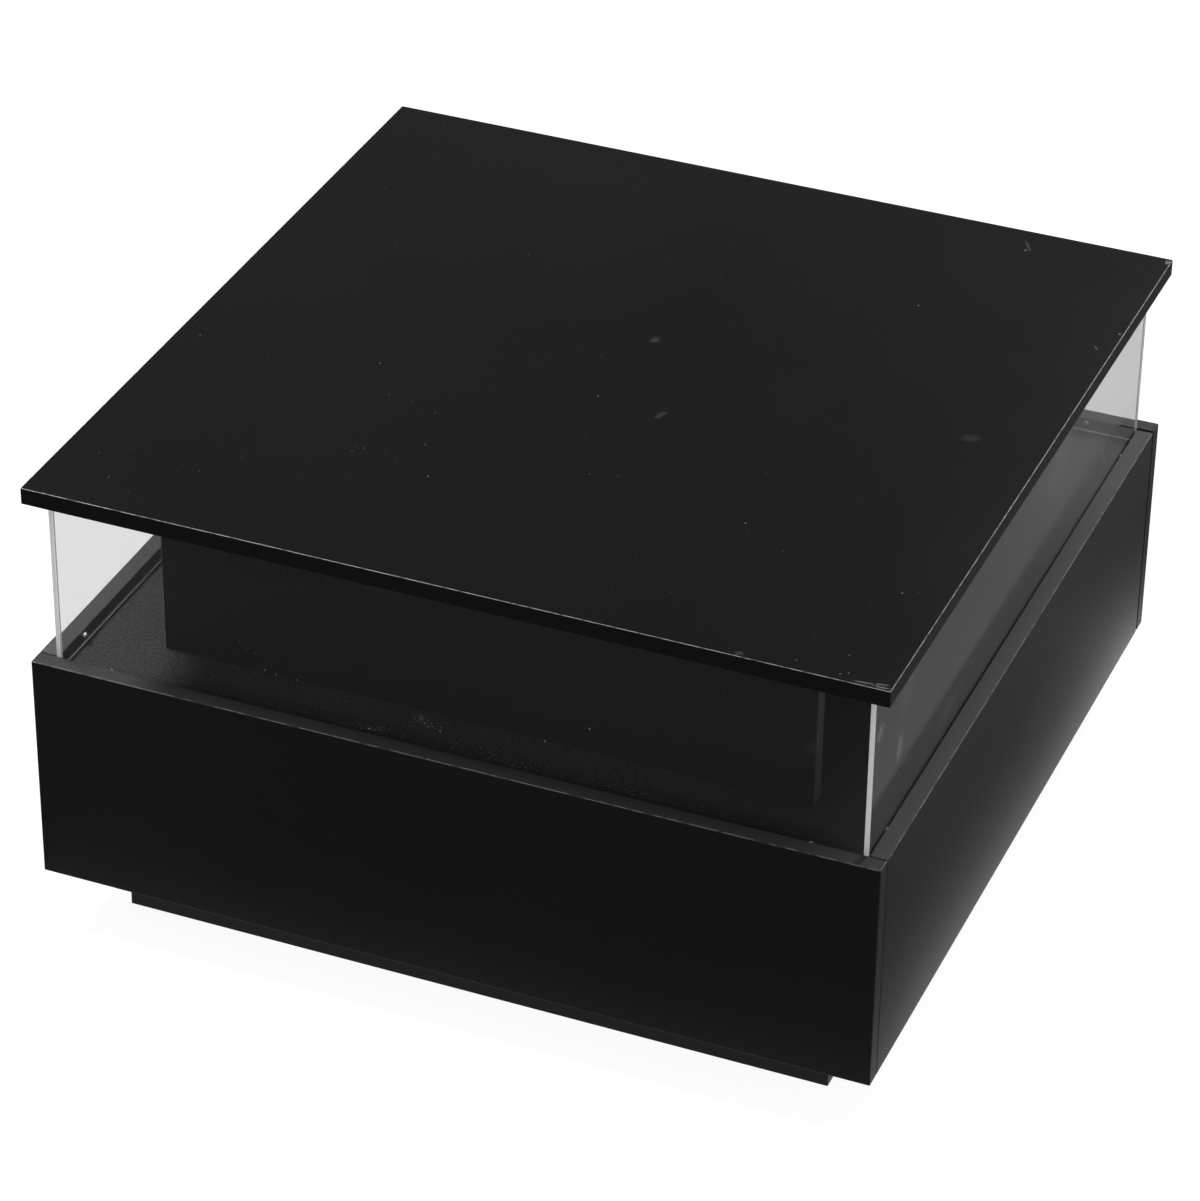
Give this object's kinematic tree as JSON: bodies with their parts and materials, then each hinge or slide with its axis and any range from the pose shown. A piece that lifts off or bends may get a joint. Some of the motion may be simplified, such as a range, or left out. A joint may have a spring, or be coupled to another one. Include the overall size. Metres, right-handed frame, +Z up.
{
  "type": "display coffee table",
  "caption": "Square black coffee table with a display space: a boarded base on a recessed plinth, clear side panels around an upright core, and a lift-off top board.",
  "frame": {"origin": "on the ground, under the middle of the table", "axes": "+Z up; -Y is the front, towards the side seen at the lower left of the picture; +X to the right"},
  "size_m": [0.8, 0.8, 0.468],
  "materials": {
    "black_board": "black faced board, satin",
    "floor_board": "black faced board, finely textured, dull",
    "clear_acrylic": "clear, polished faces, sawn edges",
    "steel_screws": "bright zinc plated",
    "pine": "planed softwood"
  },
  "bodies": {
    "table": {"base_back": "black_board", "base_block_back_left": "pine", "base_block_back_right": "pine", "base_block_front_left": "pine", "base_block_front_right": "pine", "base_front": "black_board", "base_left": "black_board", "base_right": "black_board", "bottom_panel": "black_board", "core_back": "black_board", "core_dowel_back_left": "pine", "core_dowel_back_right": "pine", "core_dowel_front_left": "pine", "core_dowel_front_right": "pine", "core_front": "black_board", "core_spine": "black_board", "display_floor": "floor_board", "floor_bearer_back": "black_board", "floor_bearer_front": "black_board", "floor_cleat_back": "pine", "floor_cleat_front": "pine", "floor_cleat_left": "pine", "floor_cleat_right": "pine", "plinth_back": "black_board", "plinth_block_back_left": "pine", "plinth_block_back_right": "pine", "plinth_block_front_left": "pine", "plinth_block_front_right": "pine", "plinth_front": "black_board", "plinth_left": "black_board", "plinth_right": "black_board", "spine_dowel_back": "pine", "spine_dowel_front": "pine", "spine_end_dowel_back_high": "pine", "spine_end_dowel_back_low": "pine", "spine_end_dowel_front_high": "pine", "spine_end_dowel_front_low": "pine", "window_back": "clear_acrylic", "window_front": "clear_acrylic", "window_left": "clear_acrylic", "window_right": "clear_acrylic", "window_screw_back_left": "steel_screws", "window_screw_back_right": "steel_screws", "window_screw_front_left": "steel_screws", "window_screw_front_right": "steel_screws", "window_screw_left_back": "steel_screws", "window_screw_left_front": "steel_screws", "window_screw_right_back": "steel_screws", "window_screw_right_front": "steel_screws"},
    "lid": {"batten_screw_left_back": "steel_screws", "batten_screw_left_front": "steel_screws", "batten_screw_right_back": "steel_screws", "batten_screw_right_front": "steel_screws", "lid_batten_left": "pine", "lid_batten_right": "pine", "top_board": "black_board"}
  },
  "joints": [
    {"name": "lid_lift", "type": "slide", "parent": "table", "child": "lid", "axis": [0, 0, 1], "range_m": [0, 0.25]}
  ]
}
